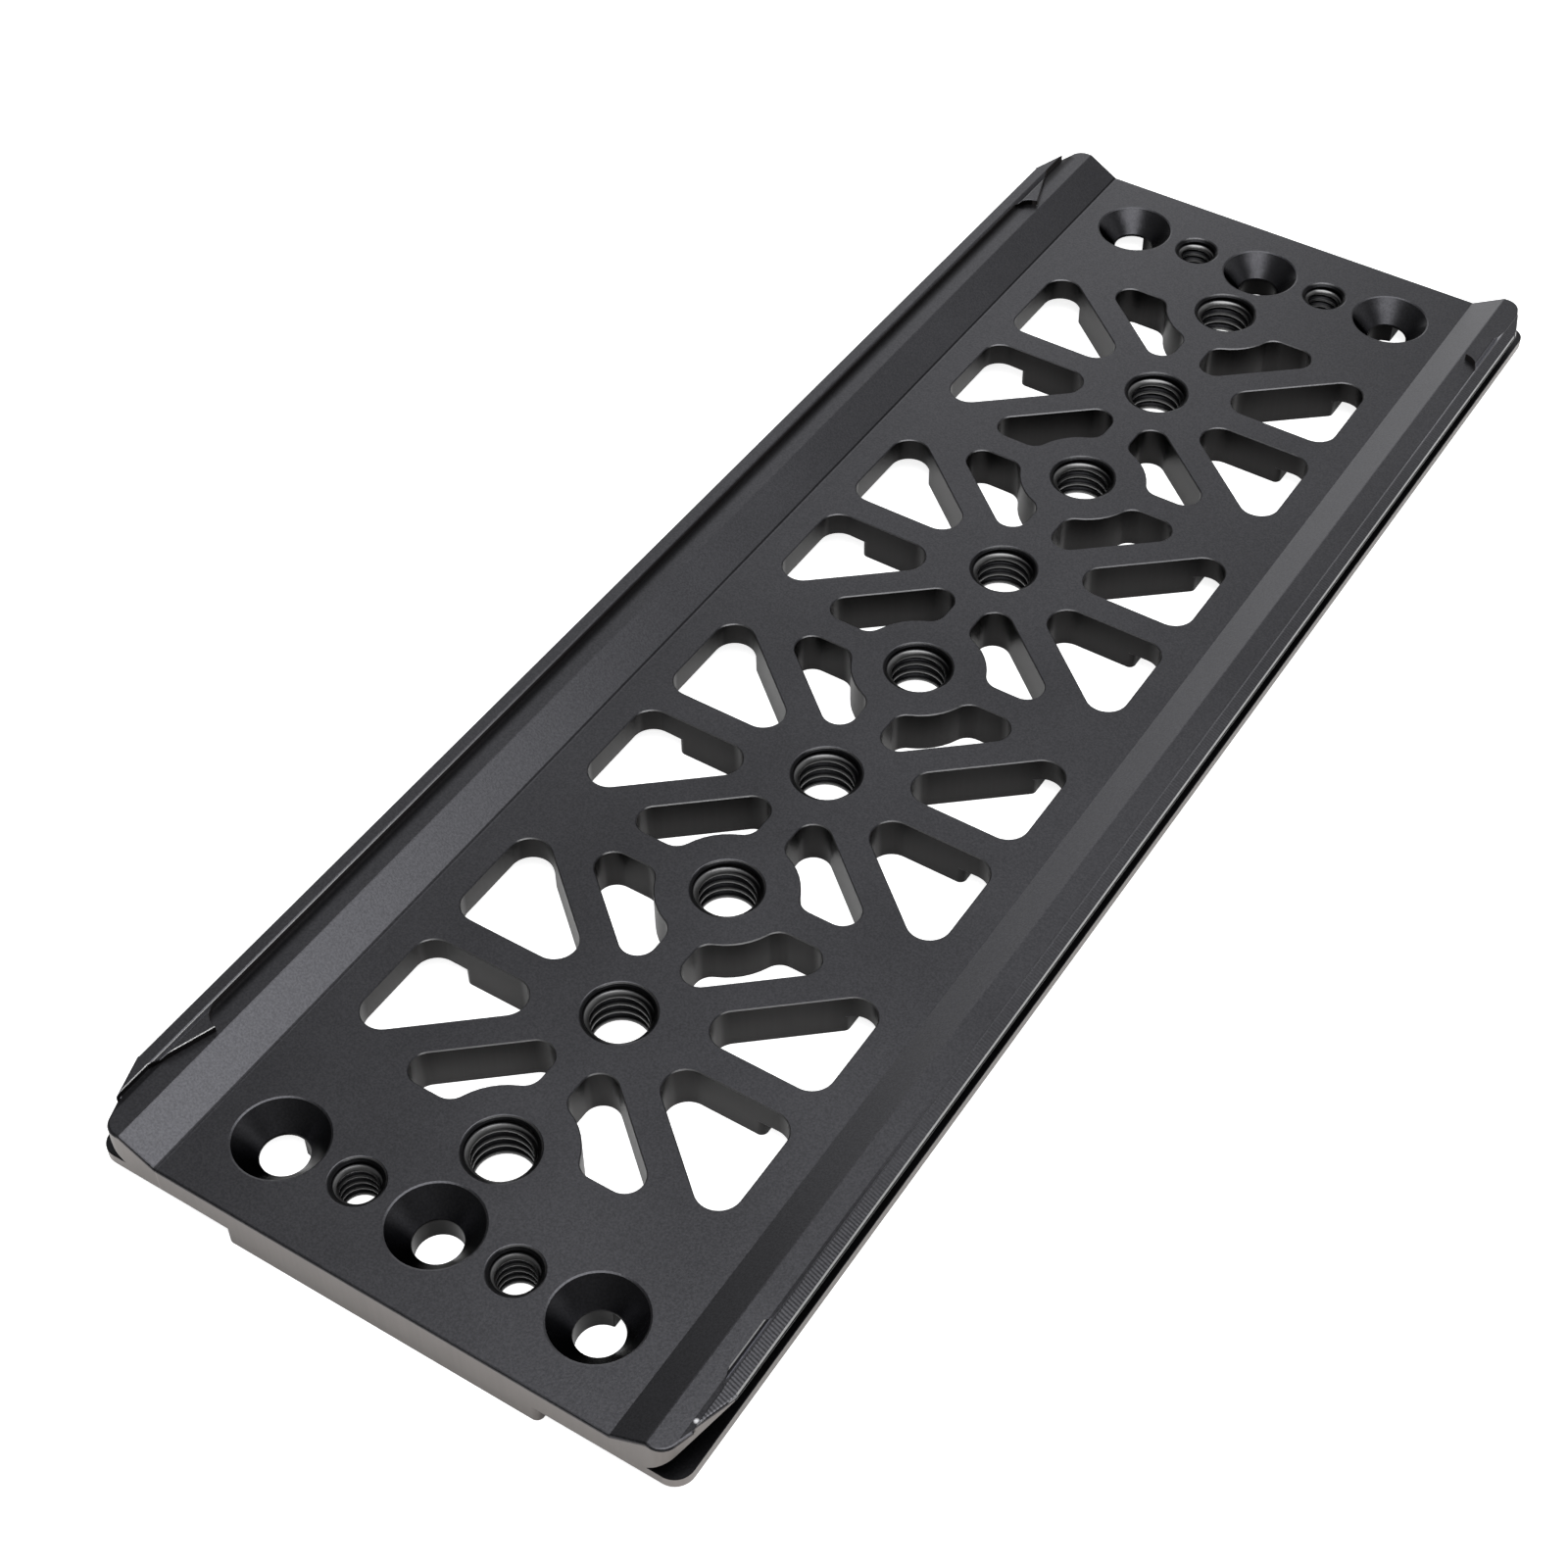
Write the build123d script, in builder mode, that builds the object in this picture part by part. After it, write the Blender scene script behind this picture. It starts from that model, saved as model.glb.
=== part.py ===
from build123d import *
from math import cos, radians, sin, sqrt, tan
import os

os.makedirs("parts", exist_ok=True)

# All sizes in millimetres. X runs across the plate, Y along it, Z up from the pad underneath.
# The origin is the middle of the plate in plan, on the face of the pad.
plate_length = 254.0
plate_width = 91.0
plate_height = 11.0

# Cross section: pad, thin web, sloping ramps, raised rails, undercut and lower flange.
pad_width = 48.0
pad_height = 3.0
rail_width = 5.9
web_thickness = 4.0
ramp_angle = 30.0
lip_height = 1.0
edge_land = 0.55
undercut_angle = 45.0
flange_setback = 1.05
flange_thickness = 1.75

# Rail ends in plan: the outer edge tapers in, then turns a round corner into the end face.
taper_inset = 10.1
taper_angle = 18.4
rail_corner_radius = 2.5
flange_corner_radius = 2.7
pad_corner_radius = 1.0

# Recess in the top of each rail, with a pointed stop left standing near each end.
lip_width = 2.3
lip_end_width = 2.0
stop_reach = 5.2
stop_inset = 19.2
stop_length = 9.2
stop_radius = 3.2
groove_offset = 2.5
groove_width = 0.9

# Holes on the centre line for three-eighths camera screws, one to every inch.
hole_pitch = 25.4
big_thread_diameter = 9.525
big_rim_diameter = 10.4

# A row of five holes at each end: three countersunk with two smaller threads between them.
end_row_inset = 12.1
small_thread_diameter = 6.35
small_rim_diameter = 7.4
screw_edge_distance = 10.1
screw_hole_diameter = 6.5
screw_rim_diameter = 12.75
screw_cone_angle = 82.0

# Lightening windows round every second hole of the centre line.
field_margin = 4.95
bar_width = 4.8
strut_width = 4.7
strut_angle = 40.5
strut_offset = 0.5
ring_radius = 10.05
triangle_corner = 3.2
slot_corner = 2.65
end_break = 0.25

# Heights and half widths that follow from the sizes above.
half_length = plate_length / 2
edge_x = plate_width / 2
web_top = pad_height + web_thickness
rail_top = plate_height - lip_height
land_bottom = plate_height - edge_land
flange_top = pad_height + flange_thickness
root_x = edge_x - (land_bottom - flange_top) / tan(radians(undercut_angle))
flange_x = edge_x - flange_setback
ramp_top_x = edge_x - rail_width
web_x = ramp_top_x - (rail_top - web_top) / tan(radians(ramp_angle))
screw_x = web_x - screw_edge_distance
field_x = web_x - field_margin
end_row_y = half_length - end_row_inset
holes_each_side = int((end_row_y - screw_rim_diameter / 2) / hole_pitch)
hub_count = 2 * (holes_each_side // 2)

# Window outlines beside one hub, one quarter drawn and mirrored both ways.
strut = radians(strut_angle)
bar = bar_width / 2
triangle_side = strut_width / 2 - strut_offset
slot_side = strut_width / 2 + strut_offset
triangle_near_x = (triangle_side + bar * cos(strut)) / sin(strut)
triangle_far_y = (field_x * sin(strut) - triangle_side) / cos(strut)
slot_near_y = (bar * sin(strut) + slot_side) / cos(strut)
slot_far_y = hole_pitch - bar
slot_far_x = (slot_far_y * cos(strut) - slot_side) / sin(strut)

with BuildSketch() as triangles:
    Polygon(
        (triangle_near_x, bar),
        (field_x, bar),
        (field_x, triangle_far_y),
        align=None,
    )
    fillet(triangles.vertices(), triangle_corner)
    with Locations((field_x / 2, slot_far_y / 2)):
        Rectangle(field_x, slot_far_y, mode=Mode.INTERSECT)
    mirror(about=Plane.XZ)
    mirror(about=Plane.YZ)

with BuildSketch() as slots:
    Polygon((bar, slot_near_y), (bar, slot_far_y), (slot_far_x, slot_far_y), align=None)
    with Locations((0, hole_pitch)):
        Circle(ring_radius, mode=Mode.SUBTRACT)
    fillet(slots.vertices(), slot_corner)
    mirror(about=Plane.XZ)
    mirror(about=Plane.YZ)

with BuildPart() as baseplate:
    # The cross section, drawn for one side and mirrored, runs the whole length.
    with BuildSketch(Plane.XZ):
        with BuildLine():
            Polyline(
                (0, 0),
                (pad_width / 2, 0),
                (pad_width / 2, pad_height),
                (flange_x, pad_height),
                (flange_x, flange_top),
                (root_x, flange_top),
                (edge_x, land_bottom),
                (edge_x, plate_height),
                (ramp_top_x, plate_height),
                (ramp_top_x, rail_top),
                (web_x, web_top),
                (0, web_top),
                close=True,
            )
        make_face()
        mirror(about=Plane.YZ)
    extrude(amount=half_length, both=True)

    # The lower flange has round corners in plan.
    flange_corners = baseplate.edges().filter_by(Axis.Z).filter_by(
        lambda edge: abs(abs(edge.center().X) - flange_x) < 0.01
    )
    fillet(flange_corners, flange_corner_radius)

    # The recess in the rail tops leaves the outer lip and the pointed stops standing.
    stop_y = half_length - stop_inset
    stop_x = edge_x - stop_reach
    lip_x = edge_x - lip_width
    lip_end_x = edge_x - lip_end_width
    arc_y = stop_y - sqrt(stop_radius**2 - (lip_x - stop_radius - stop_x) ** 2)
    lean = radians(taper_angle)
    tip_y = half_length - taper_inset + lip_end_width / tan(lean)
    with BuildSketch(Plane.XY.offset(rail_top)):
        with BuildLine():
            RadiusArc((lip_x, arc_y), (stop_x, stop_y), -stop_radius)
            Polyline(
                (stop_x, stop_y),
                (lip_end_x, stop_y + stop_length),
                (lip_end_x, tip_y),
                (plate_width, tip_y),
                (plate_width, plate_length),
                (web_x, plate_length),
                (web_x, 0),
                (lip_x, 0),
                (lip_x, arc_y),
            )
        make_face()
        mirror(about=Plane.XZ)
        mirror(about=Plane.YZ)
    extrude(amount=2 * lip_height, mode=Mode.SUBTRACT)

    # The outer edge of both rails is cut to its tapered outline, down to the flange.
    end_x = edge_x - taper_inset * tan(lean)
    trim = rail_corner_radius * tan((radians(90) - lean) / 2)
    with BuildSketch(Plane.XY.offset(flange_top)):
        with BuildLine():
            arc_start = (end_x + trim * sin(lean), half_length - trim * cos(lean))
            arc_end = (end_x - trim, half_length)
            RadiusArc(arc_start, arc_end, -rail_corner_radius)
            Polyline(
                arc_end,
                (end_x - trim, plate_length),
                (plate_width, plate_length),
                (plate_width, half_length - taper_inset),
                (edge_x, half_length - taper_inset),
                arc_start,
            )
        make_face()
        mirror(about=Plane.XZ)
        mirror(about=Plane.YZ)
    extrude(amount=plate_height, mode=Mode.SUBTRACT)

    # Burrs are taken off the top edges at both ends, round the rail corners and along the tapers.
    top_faces = baseplate.faces().filter_by(
        lambda face: face.normal_at().Z > 0.5 and face.center().Z > web_top - 0.01
    )
    end_faces = baseplate.faces().filter_by(
        lambda face: abs(face.normal_at().Z) < 0.01
        and abs(face.normal_at().Y) > 0.1
        and abs(face.center().Y) > half_length - taper_inset
    )
    chamfer(top_faces.edges() & end_faces.edges(), end_break)

    # A fine V groove follows the inner edge of each lip and crosses the stops.
    groove_x = edge_x - groove_offset
    with BuildSketch(Plane.XZ):
        with Locations((groove_x, plate_height), (-groove_x, plate_height)):
            Rectangle(groove_width / sqrt(2), groove_width / sqrt(2), rotation=45)
    extrude(amount=stop_y + stop_length, both=True, mode=Mode.SUBTRACT)

    # Triangles and slots radiate from every hub and are cut right through.
    with BuildSketch(Plane.XY.offset(web_top)):
        with GridLocations(0, 2 * hole_pitch, 1, hub_count):
            add(triangles.sketch)
            add(slots.sketch)
    extrude(amount=-web_top, mode=Mode.SUBTRACT)

    # The pad edge is rounded at the plate ends and wherever a window cuts through it.
    pad_corners = baseplate.edges().filter_by(Axis.Z).filter_by(
        lambda edge: abs(abs(edge.center().X) - pad_width / 2) < 0.01
    )
    fillet(pad_corners, pad_corner_radius)

    # Tapped holes with a countersunk mouth, and deep countersunk holes for flat head screws.
    with Locations(Plane.XY.offset(web_top)):
        with GridLocations(0, hole_pitch, 1, 2 * holes_each_side + 1):
            CounterSinkHole(big_thread_diameter / 2, big_rim_diameter / 2, None, 90)
        with GridLocations(screw_x, 2 * end_row_y, 2, 2):
            CounterSinkHole(small_thread_diameter / 2, small_rim_diameter / 2, None, 90)
        with GridLocations(screw_x, 2 * end_row_y, 3, 2):
            CounterSinkHole(
                screw_hole_diameter / 2, screw_rim_diameter / 2, None, screw_cone_angle
            )

baseplate.part.label = "baseplate"
export_step(baseplate.part, "parts/baseplate.step")
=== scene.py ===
import functools
import math

import bmesh
import bpy
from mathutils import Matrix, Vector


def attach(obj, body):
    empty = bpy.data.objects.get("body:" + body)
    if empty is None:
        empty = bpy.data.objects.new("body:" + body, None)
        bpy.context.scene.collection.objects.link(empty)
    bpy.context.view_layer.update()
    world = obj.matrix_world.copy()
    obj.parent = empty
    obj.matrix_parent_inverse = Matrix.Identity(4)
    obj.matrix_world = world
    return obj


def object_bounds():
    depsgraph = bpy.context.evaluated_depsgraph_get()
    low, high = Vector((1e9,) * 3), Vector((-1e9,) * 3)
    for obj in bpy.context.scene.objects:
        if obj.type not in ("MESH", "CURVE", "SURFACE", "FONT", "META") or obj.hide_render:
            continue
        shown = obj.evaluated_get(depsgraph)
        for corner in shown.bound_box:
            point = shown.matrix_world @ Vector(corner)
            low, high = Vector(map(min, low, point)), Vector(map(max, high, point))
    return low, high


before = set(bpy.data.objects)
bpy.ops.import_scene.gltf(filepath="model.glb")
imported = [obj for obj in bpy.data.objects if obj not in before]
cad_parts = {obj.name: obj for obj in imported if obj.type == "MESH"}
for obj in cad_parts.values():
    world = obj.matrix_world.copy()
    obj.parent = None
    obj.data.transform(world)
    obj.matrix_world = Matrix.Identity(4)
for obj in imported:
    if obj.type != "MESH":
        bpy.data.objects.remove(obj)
cad_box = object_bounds()


# Node trees. The plate's modifiers, the materials and the world are all made of nodes, and
# this class holds the few steps that they repeat. MM is one millimetre in metres.
MM = 0.001


class Nodes:
    """One node tree, with short names for adding nodes and working out values in it."""

    def __init__(self, tree):
        self.tree = tree

    def add(self, kind, settings=None, **inputs):
        """Adds one node, then sets or links its inputs, named by label or as _0, _1 by place."""
        node = self.tree.nodes.new(kind)
        for key, value in (settings or {}).items():
            setattr(node, key, value)
        for key, value in inputs.items():
            by_place = key[1:].isdigit()
            socket = node.inputs[int(key[1:]) if by_place else key.replace("_", " ")]
            if isinstance(value, bpy.types.NodeSocket):
                self.tree.links.new(value, socket)
            else:
                socket.default_value = value
        return node

    def math(self, operation, *values):
        """One Math node's result."""
        inputs = {f"_{place}": value for place, value in enumerate(values)}
        return self.add("ShaderNodeMath", {"operation": operation}, **inputs).outputs[0]

    def product(self, *values):
        """The product of all the values. Of masks, it is the part where every one holds."""
        return functools.reduce(functools.partial(self.math, "MULTIPLY"), values)

    def largest(self, *values):
        """The largest of the values. Of masks, it is the part where any one holds."""
        return functools.reduce(functools.partial(self.math, "MAXIMUM"), values)

    def step(self, value, start, end, low=0.0, high=1.0):
        """A smooth step from low to high while value goes from start to end."""
        settings = {"interpolation_type": "SMOOTHSTEP"}
        inputs = {"Value": value, "From_Min": start, "From_Max": end, "To_Min": low, "To_Max": high}
        return self.add("ShaderNodeMapRange", settings, **inputs).outputs[0]

    def step_mm(self, value, start, end, low=0.0, high=1.0):
        """The same smooth step for a length, with its start and end in millimetres."""
        return self.step(value, start * MM, end * MM, low, high)

    def band_mm(self, value, start, end, fade):
        """One while a length is between start and end, fading out over fade inside each."""
        return self.product(
            self.step_mm(value, start, start + fade), self.step_mm(value, end, end - fade)
        )

    def reach(self, across, along):
        """How far a point lies from an upright axis, from its distance either way."""
        flat = self.add("ShaderNodeCombineXYZ", X=across, Y=along).outputs[0]
        return self.add("ShaderNodeVectorMath", {"operation": "LENGTH"}, _0=flat).outputs["Value"]

    def noise(self, place, size, detail, roughness=0.5):
        """A cloudy pattern whose patches are about the given size."""
        inputs = {"Vector": place, "Scale": 1 / size, "Detail": detail, "Roughness": roughness}
        return self.add("ShaderNodeTexNoise", **inputs).outputs["Fac"]

    def spread(self, noise, low, high):
        """A noise's usual range, 0.3 to 0.7, stretched to go from low to high."""
        inputs = {"Value": noise, "From_Min": 0.3, "From_Max": 0.7, "To_Min": low, "To_Max": high}
        return self.add("ShaderNodeMapRange", **inputs).outputs[0]

    def mix(self, share, first, second):
        """A number that goes from first to second as share goes from none to one."""
        inputs = {"_0": share, "_2": first, "_3": second}
        return self.add("ShaderNodeMix", {"data_type": "FLOAT"}, **inputs).outputs[0]

    def mix_colour(self, share, first, second):
        """A colour that goes from first to second as share goes from none to one."""
        inputs = {"_0": share, "_6": first, "_7": second}
        return self.add("ShaderNodeMix", {"data_type": "RGBA"}, **inputs).outputs[2]


def geometry_group(name):
    """A new node group for a modifier, and the geometry that comes into it."""
    tree = bpy.data.node_groups.new(name, "GeometryNodeTree")
    for way in ("INPUT", "OUTPUT"):
        tree.interface.new_socket("Geometry", in_out=way, socket_type="NodeSocketGeometry")
    nodes = Nodes(tree)
    return nodes, nodes.add("NodeGroupInput").outputs[0]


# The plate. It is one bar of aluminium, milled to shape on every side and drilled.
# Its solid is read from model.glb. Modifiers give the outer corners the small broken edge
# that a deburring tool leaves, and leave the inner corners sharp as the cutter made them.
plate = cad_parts["baseplate"]
lip_break = 0.3 * MM
rim_break = 0.15 * MM
usual_break = 0.1 * MM
web_top = 7.0 * MM
corner_angle = math.radians(15)
crease_angle = math.radians(14)

# Places on it, in millimetres: the edges of its box, how far the windows and holes reach, the
# recess on the rails, the fine groove in them, the foot of the undercut, the flange's top, and
# where the near stops end.
edge, end, top = (length / MM for length in cad_box[1])
field_side, field_end = 33.0, 123.0
recess = 10.0
groove_inner, groove_middle, groove_outer = 42.6, 43.0, 43.4
undercut_foot, flange_top = 39.8, 4.75
near_stop = -108.0


def mark_outer_corners():
    """A node group that smooths round faces and weighs each outer corner for the bevel.

    The lips' outer edges and the rims of the windows and holes get a wider break than the
    rest, and the leaning edges of the right stops get none.
    """
    nodes, solid = geometry_group("mark_outer_corners")
    turn = nodes.add("GeometryNodeInputMeshEdgeAngle").outputs["Signed Angle"]
    outer = nodes.math("GREATER_THAN", turn, corner_angle)
    not_inner = nodes.math("GREATER_THAN", turn, -corner_angle)
    bare = nodes.add("GeometryNodeRemoveAttribute", Geometry=solid, Name="custom_normal").outputs[0]
    inputs = {"Geometry": bare, "Shade_Smooth": True}
    smooth = nodes.add("GeometryNodeSetShadeSmooth", {"domain": "FACE"}, **inputs).outputs[0]
    inputs = {"Geometry": smooth, "Shade_Smooth": not_inner}
    creased = nodes.add("GeometryNodeSetShadeSmooth", {"domain": "EDGE"}, **inputs).outputs[0]

    middle = nodes.add("GeometryNodeInputPosition").outputs["Position"]
    x, y, z = nodes.add("ShaderNodeSeparateXYZ", Vector=middle).outputs
    side = nodes.math("ABSOLUTE", x)
    along = nodes.math("ABSOLUTE", y)
    at_top = nodes.math("GREATER_THAN", z, (top - 0.1) * MM)
    lip = nodes.product(at_top, nodes.math("GREATER_THAN", side, (edge - 0.1) * MM))
    rim = nodes.product(
        nodes.math("COMPARE", z, web_top, 0.05 * MM),
        nodes.math("LESS_THAN", side, field_side * MM),
        nodes.math("LESS_THAN", along, field_end * MM),
    )
    right_stop = nodes.product(
        at_top,
        nodes.math("GREATER_THAN", x, 0.0),
        nodes.math("LESS_THAN", x, groove_inner * MM),
        nodes.math("LESS_THAN", along, (end - 2) * MM),
    )
    width = nodes.math("MULTIPLY_ADD", lip, lip_break - usual_break, usual_break)
    width = nodes.math("MULTIPLY_ADD", rim, rim_break - usual_break, width)
    width = nodes.product(width, nodes.math("SUBTRACT", 1.0, right_stop))
    weight = nodes.product(outer, nodes.math("DIVIDE", width, lip_break))
    settings = {"data_type": "FLOAT", "domain": "EDGE"}
    inputs = {"Geometry": creased, "Name": "bevel_weight_edge", "Value": weight}
    marked = nodes.add("GeometryNodeStoreNamedAttribute", settings, **inputs).outputs[0]
    nodes.add("NodeGroupOutput", _0=marked)
    return nodes.tree


def crisp_corners():
    """A node group that makes every corner crisp after the bevel and leaves round faces smooth."""
    nodes, bevelled = geometry_group("crisp_corners")
    turn = nodes.add("GeometryNodeInputMeshEdgeAngle").outputs["Unsigned Angle"]
    inputs = {"Geometry": bevelled, "Shade_Smooth": nodes.math("LESS_THAN", turn, crease_angle)}
    creased = nodes.add("GeometryNodeSetShadeSmooth", {"domain": "EDGE"}, **inputs).outputs[0]
    nodes.add("NodeGroupOutput", _0=creased)
    return nodes.tree


weld = plate.modifiers.new("join_facets", "WELD")
weld.merge_threshold = 0.001 * MM
mark = plate.modifiers.new("mark_outer_corners", "NODES")
mark.node_group = mark_outer_corners()
bevel = plate.modifiers.new("break_edges", "BEVEL")
bevel.limit_method = "WEIGHT"
bevel.width = lip_break
bevel.segments = 1
bevel.use_clamp_overlap = False
bevel.loop_slide = False
crease = plate.modifiers.new("crisp_corners", "NODES")
crease.node_group = crisp_corners()
shading = plate.modifiers.new("flat_faces_stay_flat", "WEIGHTED_NORMAL")
shading.keep_sharp = True
shading.weight = 100


# The finish. Black anodised aluminium, bead-blasted before the dye: a charcoal satin whose
# fine dents make it sparkle a little. The ends and outer sides come out warmer, and are painted
# lighter as a reflection of the bright floor, and the cones of the countersinks are turned
# smooth and dark.
def from_hex(code):
    """A colour written as sRGB hex, turned to the linear values that a shader takes."""
    channels = [int(code[i : i + 2], 16) / 255 for i in (1, 3, 5)]
    return [c / 12.92 if c <= 0.04045 else ((c + 0.055) / 1.055) ** 2.4 for c in channels] + [1.0]


charcoal = from_hex("#444447")
# The grey of the ends and outer sides: a warmer tone, painted lighter as a reflection of the bright
# floor.
end_grey_and_painted_sheen = from_hex("#787370")
pocket_grey = from_hex("#484747")
# A pale grey for the painted highlights.
painted_highlight_grey = from_hex("#d8d8d8")
bare_metal = from_hex("#c9c9cc")

anodised = bpy.data.materials.new("black_anodised_blasted_aluminium")
anodised.use_nodes = True
paint = Nodes(anodised.node_tree)
paint.tree.nodes.clear()
coordinates = paint.add("ShaderNodeTexCoord").outputs
place = coordinates["Object"]
x, y, z = paint.add("ShaderNodeSeparateXYZ", Vector=place).outputs
side = paint.math("ABSOLUTE", x)
along = paint.math("ABSOLUTE", y)
facing_x, facing_y, facing_z = paint.add("ShaderNodeSeparateXYZ", Vector=coordinates["Normal"]).outputs
up = paint.math("ABSOLUTE", facing_z)

# Which way a face leans, and which part of the plate it belongs to. In the row of holes at
# each end, the countersinks are screw_gap apart, with a small tapped hole between each two.
wall = paint.step(up, 0.45, 0.15)
not_wall = paint.math("SUBTRACT", 1.0, wall)
sloping = paint.product(paint.step(up, 0.80, 0.76), paint.step(up, 0.3, 0.5))
on_top = paint.step(up, 0.5, 0.7)
inside = paint.product(
    paint.step_mm(side, field_side, field_side - 1), paint.step_mm(along, field_end, field_end - 1)
)
window_wall = paint.product(wall, inside)
screw_gap, screw_row, screw_rim = 24.3, 114.9, 6.3
across_screw = paint.math("WRAP", x, screw_gap / 2 * MM, -screw_gap / 2 * MM)
from_screw = paint.reach(across_screw, paint.math("SUBTRACT", along, screw_row * MM))
at_screw = paint.product(
    paint.step_mm(from_screw, screw_rim, screw_rim - 0.1), paint.step_mm(side, field_side + 1, field_side)
)
cone = paint.product(at_screw, sloping)

# Blasting leaves dents of about 0.1 mm, too fine to show here, so they are drawn at 0.3 mm.
# They give the sparkle, and the slow clouds give the uneven depth of the dye.
dents = paint.noise(place, size=0.3 * MM, detail=1.0, roughness=0.6)
speckle = paint.spread(dents, 0.84, 1.16)
clouds = paint.noise(place, size=28 * MM, detail=3.0)
drift = paint.spread(clouds, 0.94, 1.06)

# The side of the end mill leaves upright streaks on the walls, about 0.6 mm apart.
stretched = paint.add("ShaderNodeVectorMath", {"operation": "MULTIPLY"}, _0=place, _1=(1.0, 1.0, 0.04))
flutes = paint.noise(stretched.outputs[0], size=0.6 * MM, detail=1.0)
streaks = paint.spread(flutes, 0.97, 1.03)

# A last light cut with a small cutter left cross lines on the right lip, strongest at the
# near end. The real ones are 0.38 mm apart, drawn at 0.5 mm so that they still show.
line_gap, slant, wander = 0.5 * MM, 0.25, 1.5 * MM
slanted = paint.math("MULTIPLY_ADD", x, slant, y)
wandering = paint.math("ADD", slanted, paint.product(clouds, wander))
chatter = paint.math("SINE", paint.product(wandering, math.tau / line_gap))
right_lip = paint.product(
    paint.step_mm(x, groove_outer - 0.1, groove_outer + 0.1), paint.step_mm(z, top - 0.2, top - 0.1)
)
lines = paint.product(chatter, right_lip, paint.step_mm(y, -92, -80, 1.0, 0.3))

# A fine step where the cutter for the left ramp met the web, drawn in colour only: a line of
# painted shade, and a painted highlight beside it.
dark_line_x, light_line_x = -34.5 * MM, -34.2 * MM
from_dark_line = paint.math("ABSOLUTE", paint.math("SUBTRACT", x, dark_line_x))
step_shade_line = paint.product(on_top, paint.step_mm(from_dark_line, 0.2, 0.08))
from_light_line = paint.math("ABSOLUTE", paint.math("SUBTRACT", x, light_line_x))
step_highlight_line = paint.step_mm(from_light_line, 0.16, 0.06)

# Painted shade: the corner at the foot of the left lip is painted deep black, and so is the
# near end of the same corner on the right. The left one is narrower beside the near stop.
foot = paint.product(
    paint.band_mm(z, recess - 0.2, recess + 0.5, fade=0.1),
    paint.step_mm(side, groove_outer, groove_outer - 0.1),
    paint.step_mm(along, end - 2.5, end - 3),
)
narrow = paint.step_mm(x, -groove_inner, -groove_inner - 0.3)
left_foot = paint.product(
    foot,
    paint.step_mm(x, -41.3, -42.5),
    paint.step_mm(x, -groove_inner, -groove_inner - 0.5, 1.0, 0.6),
    paint.largest(paint.step_mm(y, near_stop - 2, near_stop + 4), narrow),
    paint.step(facing_x, -0.3, -0.1),
)
right_foot = paint.product(
    foot,
    paint.step_mm(x, groove_inner - 0.1, groove_inner),
    paint.step_mm(y, -60, -95, 0.0, 0.7),
    paint.step(facing_x, 0.3, 0.1),
)

# On top of the rails, small upright walls that face right and to the near end get hardly any
# light. At the near end itself that goes for every wall that faces right.
at_near_stop = paint.step_mm(y, near_stop, near_stop - 4)
turned = paint.largest(paint.step(facing_y, -0.1, -0.2), at_near_stop)
leaning = paint.product(
    wall,
    turned,
    paint.step_mm(z, recess - 0.05, recess),
    paint.step_mm(side, groove_outer + 0.25, groove_outer + 0.15),
    paint.step(facing_x, 0.3, 0.4),
)

# The fine groove in the right rail, in painted light and shade: towards the near end its inner
# flank is painted dark and its outer flank light, and towards the far end both are painted
# light. Small slopes that face left are painted light on both rails, for the panel's light
# that they catch.
groove = paint.product(
    paint.step_mm(x, groove_inner, groove_inner + 0.08),
    paint.step_mm(x, groove_outer, groove_outer - 0.1),
    paint.step_mm(z, recess + 0.3, recess + 0.4),
    paint.step_mm(z, top - 0.05, top - 0.12),
)
inner_flank = paint.step_mm(x, groove_middle, groove_middle - 0.1)
outer_flank = paint.step_mm(x, groove_middle - 0.1, groove_middle)
flank_shade = paint.product(groove, inner_flank, paint.step_mm(y, 0, -40, 0.0, 0.8))
near_flank = paint.product(outer_flank, paint.step_mm(y, -60, -95, 0.0, 0.9))
flank_light = paint.product(groove, paint.largest(near_flank, paint.step_mm(y, 60, 95)))
left_slope_light = paint.product(
    sloping,
    paint.step_mm(z, recess + 0.45, recess + 0.5),
    paint.step_mm(side, groove_outer + 0.1, groove_outer + 0.05),
    paint.step(facing_x, -0.4, -0.6),
)

# The land under each lip is painted dark as well. All this painted shade is taken together.
land = paint.product(paint.step_mm(side, edge - 0.14, edge - 0.08), paint.step(up, 0.85, 0.8))
painted_shade = paint.largest(
    left_foot, right_foot, flank_shade, paint.product(land, 1.25), paint.product(leaning, 1.2)
)

# Little light reaches the channel under each lip. The flange's edge below it is paler.
channel = paint.product(
    not_wall,
    paint.step_mm(side, undercut_foot + 0.2, undercut_foot + 0.5),
    paint.band_mm(z, flange_top - 0.15, recess - 0.1, fade=0.1),
)
flange_side = paint.product(
    wall, paint.step_mm(side, 41.5, 42), paint.step_mm(z, flange_top + 0.05, flange_top - 0.05)
)

# Painted shade: the countersinks are darkened on the near side of each cone, and on the drilled
# wall below it.
near_cone_shade = paint.product(cone, paint.step(facing_y, 0.1, 0.4))
drilled_wall_shade = paint.product(at_screw, wall)

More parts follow.
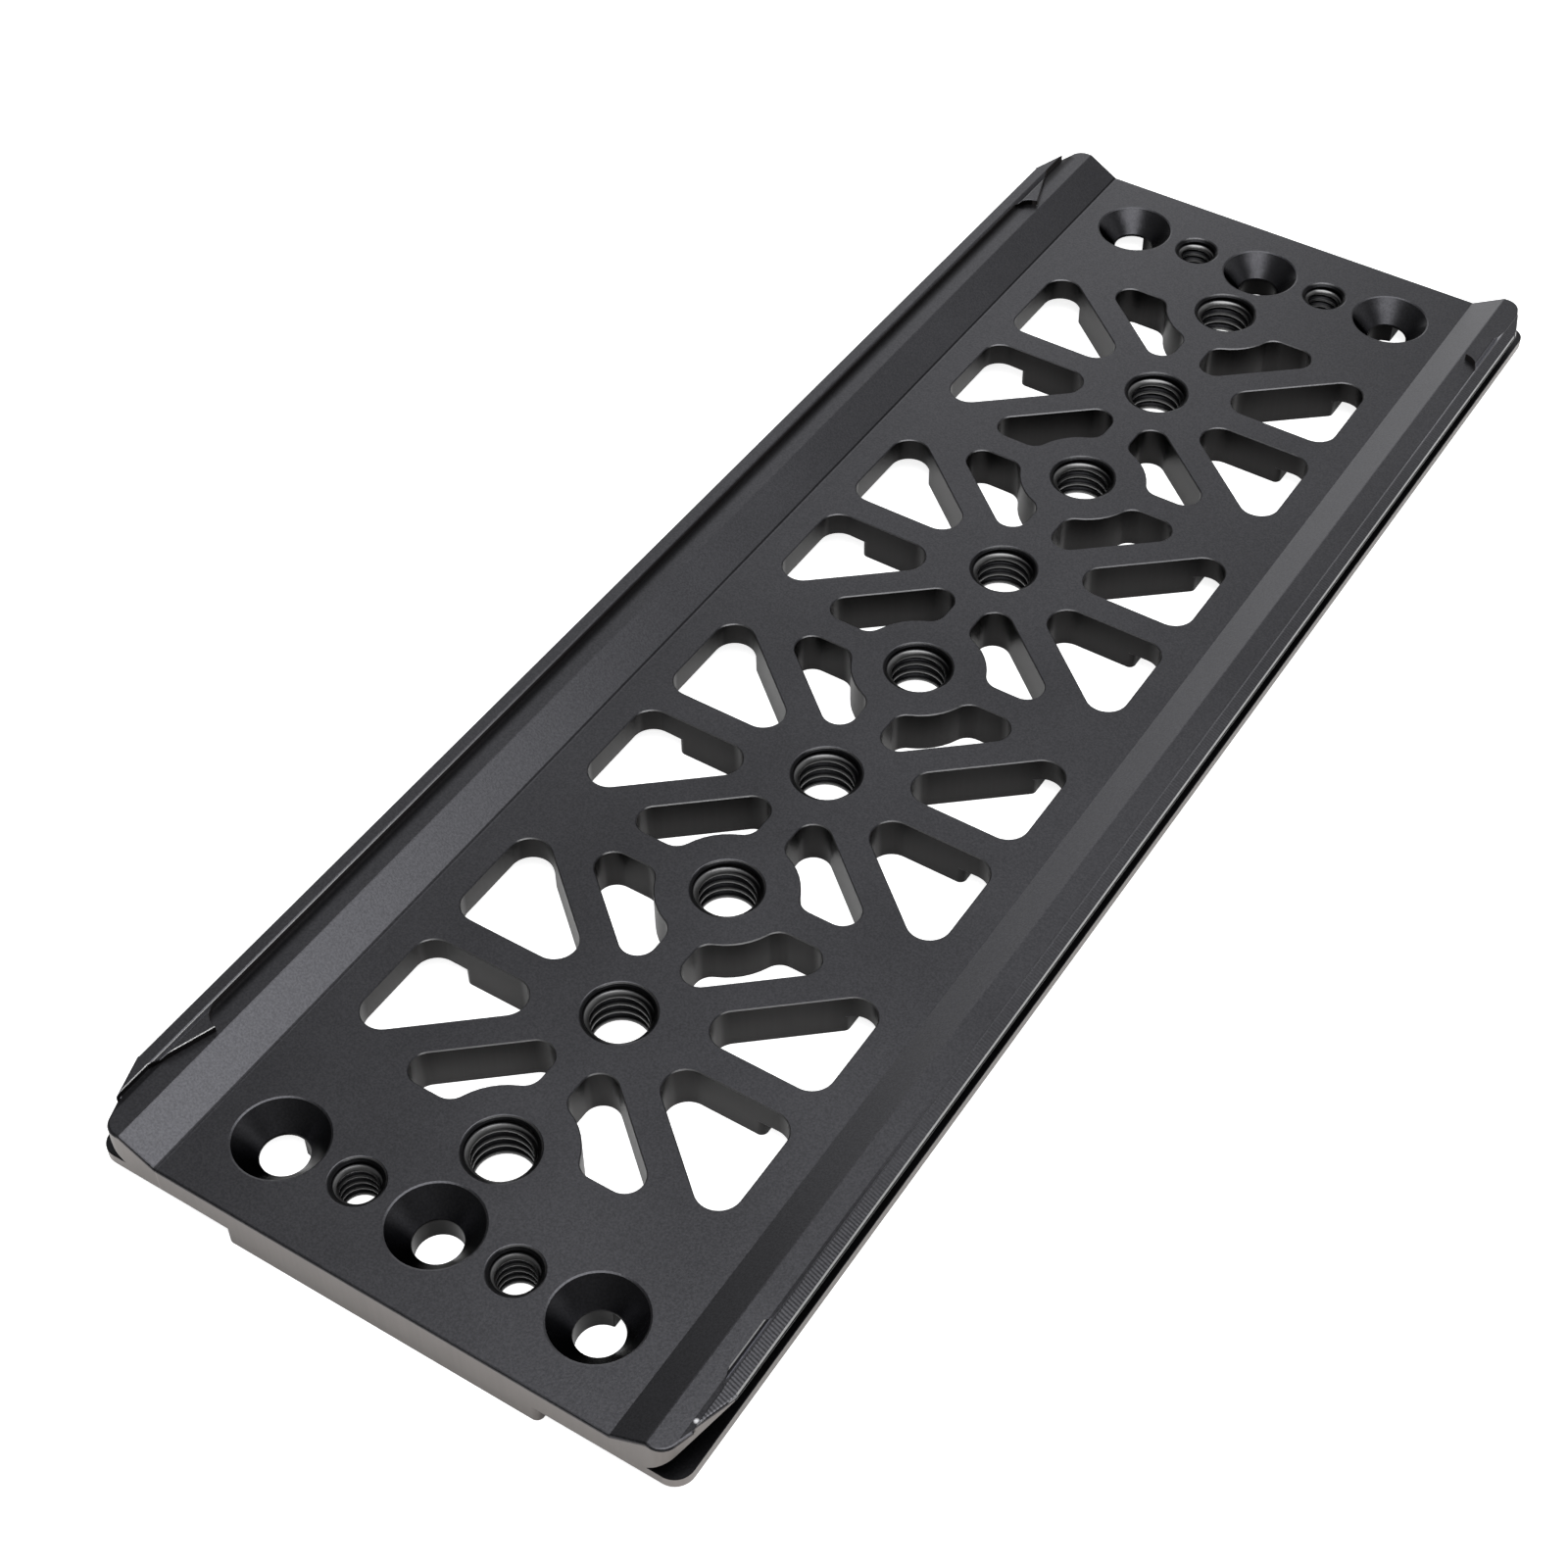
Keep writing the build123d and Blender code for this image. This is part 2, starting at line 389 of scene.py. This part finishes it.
# The tapped holes. The middle ones lie an inch apart as far as 4 inches from the centre. Their
# chamfers and roots get painted shade, and the thread's crests and first turn a little painted
# highlight.
inch = 25.4 * MM
web = web_top / MM
camera_thread = {"rim": 10.4 * MM, "outside": 9.525 * MM, "inside": 8.0 * MM, "pitch": inch / 16}
small_thread = {"rim": 7.4 * MM, "outside": 6.35 * MM, "inside": 5.1 * MM, "pitch": inch / 20}
from_middle_hole = paint.reach(x, paint.math("WRAP", y, inch / 2, -inch / 2))
beyond_last_hole = paint.step_mm(along, 108, 109)
from_middle_hole = paint.math("ADD", from_middle_hole, beyond_last_hole)
from_small_hole = paint.reach(
    paint.math("SUBTRACT", side, screw_gap / 2 * MM), paint.math("SUBTRACT", along, screw_row * MM)
)


def in_tapped_holes(diameter, extra, fade):
    """The space in the tapped holes, out to half the named diameter of the thread plus extra."""
    middle, small = [thread[diameter] / 2 + extra for thread in (camera_thread, small_thread)]
    return paint.largest(
        paint.step(from_middle_hole, middle, middle - fade),
        paint.step(from_small_hole, small, small - fade),
    )


# Painted shade fills the tapped holes out to their rims.
bore_shade = in_tapped_holes("rim", 0, 0.1 * MM)
crest = in_tapped_holes("inside", 0.2 * MM, 0.15 * MM)
in_thread = in_tapped_holes("outside", -0.07 * MM, 0.1 * MM)
first_turn = paint.product(in_thread, paint.band_mm(z, web - 1.5, web - 0.6, fade=0.2))
# A painted highlight on the crests and on the first turn.
thread_highlight = paint.largest(paint.product(crest, 0.25), paint.product(first_turn, 0.28))

# Painted highlights on the right lip's broken outer edge, on the inner top edges of both rails
# at the near end, and a little on the far rims of the windows.
outer_edge = paint.product(
    paint.step_mm(x, edge - 0.5, edge - 0.4), paint.step_mm(z, top - 0.22, top - 0.16)
)
inner_edge = paint.product(
    paint.step_mm(side, groove_outer + 0.6, groove_outer + 0.4),
    paint.step_mm(z, top - 0.16, top - 0.12),
    paint.step_mm(y, -10, -90, 0.0, 0.8),
    paint.step(facing_y, 0.15, 0.05),
)
edge_highlight = paint.product(
    sloping, paint.largest(outer_edge, inner_edge), paint.step(facing_x, 0.3, 0.5)
)
rim_highlight = paint.product(
    sloping,
    paint.math("SUBTRACT", inside, at_screw),
    paint.band_mm(z, web - 0.17, web + 0.05, fade=0.04),
    paint.step_mm(y, -80, 40, 0.3, 0.1),
    paint.step(facing_y, -0.2, -0.4),
)
painted_highlights = paint.largest(edge_highlight, thread_highlight, rim_highlight)

# One small nick at the near end of the right lip shows bare metal.
nick_place = (42.95 * MM, -121.4 * MM, 10.4 * MM)
to_nick = paint.add("ShaderNodeVectorMath", {"operation": "DISTANCE"}, _0=place, _1=nick_place)
nick = paint.step_mm(to_nick.outputs["Value"], 0.6, 0.35)

# Painted shade on the window walls: darkest near the top, and darker where they face the near
# end.
back_wall_shade = paint.product(
    window_wall, paint.step(facing_y, -0.3, -0.55), paint.step_mm(y, -110, -20, 0.6, 1.0)
)
wall_depth_shade = paint.mix(window_wall, 1.0, paint.step_mm(z, web - 0.1, 1.0, 0.55, 1.0))

# The colour. Each mask lightens or darkens the dye by its share, and the bare metal and the
# painted highlights come on top.
shares = (
    (lines, 0.45),
    (step_shade_line, -0.7),
    (step_highlight_line, 0.25),
    (painted_shade, -0.75),
    (left_slope_light, 1.3),
    (flank_light, 1.7),
    (channel, -0.6),
    (flange_side, 0.15),
    (cone, -0.05),
    (near_cone_shade, -0.7),
    (drilled_wall_shade, -0.8),
    (back_wall_shade, -0.55),
    (bore_shade, -0.7),
)
changes = [paint.math("MULTIPLY_ADD", mask, share, 1.0) for mask, share in shares]
grain = paint.mix(wall, speckle, streaks)
tone = paint.product(grain, drift, *changes, wall_depth_shade)
# The outer walls take the grey that is painted lighter as the floor's reflection.
dye_and_painted_sheen = paint.mix_colour(wall, charcoal, paint.mix_colour(inside, end_grey_and_painted_sheen, pocket_grey))
toned_dye_with_painted_light = paint.add("ShaderNodeVectorMath", {"operation": "SCALE"}, _0=dye_and_painted_sheen, Scale=tone).outputs[0]
colour = paint.mix_colour(nick, paint.mix_colour(painted_highlights, toned_dye_with_painted_light, painted_highlight_grey), bare_metal)

# The surface. Dents cover what was blasted, and the milled lines and streaks stand out a
# little. The cones are smoother, and their near sides lose most of their shine, as painted shade.
blasted = paint.product(dents, paint.math("SUBTRACT", 1.0, paint.largest(wall, cone)))
height = paint.math("MULTIPLY_ADD", lines, 0.25, blasted)
height = paint.math("MULTIPLY_ADD", paint.product(flutes, wall), 0.05, height)
bump = paint.add("ShaderNodeBump", Height=height, Distance=0.02 * MM, Strength=0.5)
matt = paint.spread(clouds, 0.31, 0.37)
shine = paint.math("MULTIPLY_ADD", near_cone_shade, -0.9, 1.0)
edge_tint = paint.add("ShaderNodeCombineColor", _0=shine, _1=shine, _2=shine).outputs[0]
shader = paint.add(
    "ShaderNodeBsdfPrincipled",
    Base_Color=colour,
    Specular_Tint=edge_tint,
    Metallic=1.0,
    Roughness=paint.math("MULTIPLY_ADD", cone, -0.06, matt),
    Normal=bump.outputs["Normal"],
)
paint.add("ShaderNodeOutputMaterial", Surface=shader.outputs["BSDF"])
plate.material_slots[0].material = anodised


# The screw threads. Nine holes along the middle are tapped for three-eighths camera screws
# and four between the countersinks for quarter inch ones. The solid has each hole at the
# thread's outside diameter, and these ridges are the metal that the tap left standing.
# They go a little way into the holes' walls and behind the cones, so that no gap shows.
cone_angle = math.radians(45)
steps_per_turn = 40
sunk = 0.05 * MM
tucked = 0.02 * MM


def cut_off(mesh, height, direction):
    """Cuts away what lies past a level plane, on the side that direction points to."""
    whole = mesh.verts[:] + mesh.edges[:] + mesh.faces[:]
    bmesh.ops.bisect_plane(
        mesh, geom=whole, plane_co=(0, 0, height), plane_no=(0, 0, direction), clear_outer=True
    )


def thread_ridge(rim, outside, inside, pitch):
    """One hole's helical ridge round the Z axis, cut to the web and to the cone at its top."""
    ridge = bmesh.new()
    root, crest = outside / 2 + sunk, inside / 2
    root_half, crest_half = 0.44 * pitch, 0.11 * pitch
    outline = [(root, -root_half), (crest, -crest_half), (crest, crest_half), (root, root_half)]
    corners = [ridge.verts.new((r, 0, z - pitch)) for r, z in outline]
    sides = [ridge.edges.new(pair) for pair in zip(corners, corners[1:])]
    turns = math.ceil(web_top / pitch) + 2
    bmesh.ops.spin(
        ridge,
        geom=corners + sides,
        cent=(0, 0, 0),
        axis=(0, 0, 1),
        dvec=(0, 0, pitch / steps_per_turn),
        angle=math.tau * turns,
        steps=turns * steps_per_turn,
        use_merge=False,
    )
    cut_off(ridge, 0, -1)
    cut_off(ridge, web_top, 1)
    cone_foot = web_top - (rim - outside) / 2 * math.tan(cone_angle)
    for vert in ridge.verts:
        across = math.hypot(vert.co.x, vert.co.y)
        cone_radius = outside / 2 + (vert.co.z - cone_foot) / math.tan(cone_angle)
        if across < cone_radius:
            vert.co.x *= (cone_radius + tucked) / across
            vert.co.y *= (cone_radius + tucked) / across
    bmesh.ops.recalc_face_normals(ridge, faces=ridge.faces)
    return ridge


def tapped_threads(name, holes, **sizes):
    """One piece with the same ridge in every hole."""
    ridge = thread_ridge(**sizes)
    mesh = bpy.data.meshes.new(name)
    ridge.to_mesh(mesh)
    ridge.free()
    group = bmesh.new()
    for hole_x, hole_y in holes:
        start = len(group.verts)
        group.from_mesh(mesh)
        group.verts.ensure_lookup_table()
        bmesh.ops.translate(group, verts=group.verts[start:], vec=(hole_x, hole_y, 0))
    group.to_mesh(mesh)
    group.free()
    mesh.shade_smooth()
    threads = bpy.data.objects.new(name, mesh)
    bpy.context.scene.collection.objects.link(threads)
    threads.data.materials.append(anodised)
    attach(threads, "root")


middle_holes = [(0, step * inch) for step in range(-4, 5)]
tapped_threads("camera_screw_threads", middle_holes, **camera_thread)
small_x, small_y = screw_gap / 2 * MM, screw_row * MM
small_holes = [(across, along) for across in (-small_x, small_x) for along in (-small_y, small_y)]
tapped_threads("end_screw_threads", small_holes, **small_thread)


# The floor: plain white paper that the plate lies on. Its glow stands for an overexposed
# sweep, and its matt white keeps a trace of the plate's shadow. The camera sees more of the
# glow than the plate mirrors.
sheet_reach = 6.0
seen_glow, mirrored_glow = 0.85, 0.15
white = (1.0, 1.0, 1.0, 1.0)
sheet = bmesh.new()
bmesh.ops.create_grid(sheet, x_segments=1, y_segments=1, size=sheet_reach)
floor = bpy.data.objects.new("floor", bpy.data.meshes.new("floor"))
sheet.to_mesh(floor.data)
sheet.free()
bpy.context.scene.collection.objects.link(floor)
white_paper = bpy.data.materials.new("white_paper")
white_paper.use_nodes = True
paper = Nodes(white_paper.node_tree)
paper.tree.nodes.clear()
rays = paper.add("ShaderNodeLightPath").outputs
mirrored = paper.largest(rays["Is Glossy Ray"], rays["Is Transmission Ray"])
seen = paper.product(rays["Is Camera Ray"], seen_glow)
glow = paper.add(
    "ShaderNodeEmission", Color=white, Strength=paper.math("MULTIPLY_ADD", mirrored, mirrored_glow, seen)
)
matt_white = paper.add("ShaderNodeBsdfDiffuse", Color=from_hex("#e6e6e6"))
both = paper.add("ShaderNodeAddShader", _0=matt_white.outputs[0], _1=glow.outputs[0])
paper.add("ShaderNodeOutputMaterial", Surface=both.outputs[0])
floor.data.materials.append(white_paper)


# The light. A pale sweep stands behind the plate and the room behind the camera is dark,
# so the world fades from one to the other. A large round softbox hangs over the plate, and
# a lower panel stands behind it on the left.
world = bpy.data.worlds.new("studio")
bpy.context.scene.world = world
world.use_nodes = True
studio = Nodes(world.node_tree)
studio.tree.nodes.clear()
way = studio.add("ShaderNodeTexCoord").outputs["Generated"]
way_x, way_y, way_z = studio.add("ShaderNodeSeparateXYZ", Vector=way).outputs
sweep = studio.step(way_y, 0.1, 0.6, 0.09, 0.5)
ceiling = studio.step(way_z, 0.3, 0.6, 0.0, 0.1)
camera_ray = studio.add("ShaderNodeLightPath").outputs["Is Camera Ray"]
level = studio.largest(studio.math("ADD", sweep, ceiling), camera_ray)
sky = studio.add("ShaderNodeBackground", Color=white, Strength=level)
studio.add("ShaderNodeOutputWorld", Surface=sky.outputs[0])


def area_light(name, shape, size, radiance, location, turn=(0, 0, 0)):
    """A flat light whose face has the given radiance, whatever its size, turned by degrees."""
    data = bpy.data.lights.new(name, "AREA")
    data.shape = shape
    data.size = size
    face = math.pi * (size / 2) ** 2 if shape == "DISK" else size**2
    data.energy = radiance * math.pi * face
    light = bpy.data.objects.new(name, data)
    light.location = location
    light.rotation_euler = [math.radians(angle) for angle in turn]
    bpy.context.scene.collection.objects.link(light)


area_light("softbox", "DISK", size=1.24, radiance=3.3, location=(0.3, -0.1, 0.9))
area_light(
    "panel", "SQUARE", size=1.3, radiance=1.1, location=(-1.0, 1.25, 0.65), turn=(90, 0, 38.7 - 180)
)


# The camera stands near one corner of the plate and looks down along it.
camera_data = bpy.data.cameras.new("camera")
camera = bpy.data.objects.new("camera", camera_data)
bpy.context.scene.collection.objects.link(camera)
camera.location = (0.13723, -0.24424, 0.28123)
camera.rotation_euler = [math.radians(angle) for angle in (43.435, -0.552, 31.779)]
camera_data.lens = 61.09
camera_data.shift_x = -0.0455
camera_data.shift_y = -0.0112
camera_data.clip_start = 0.01
bpy.context.scene.camera = camera
bpy.context.scene.view_settings.view_transform = "Standard"
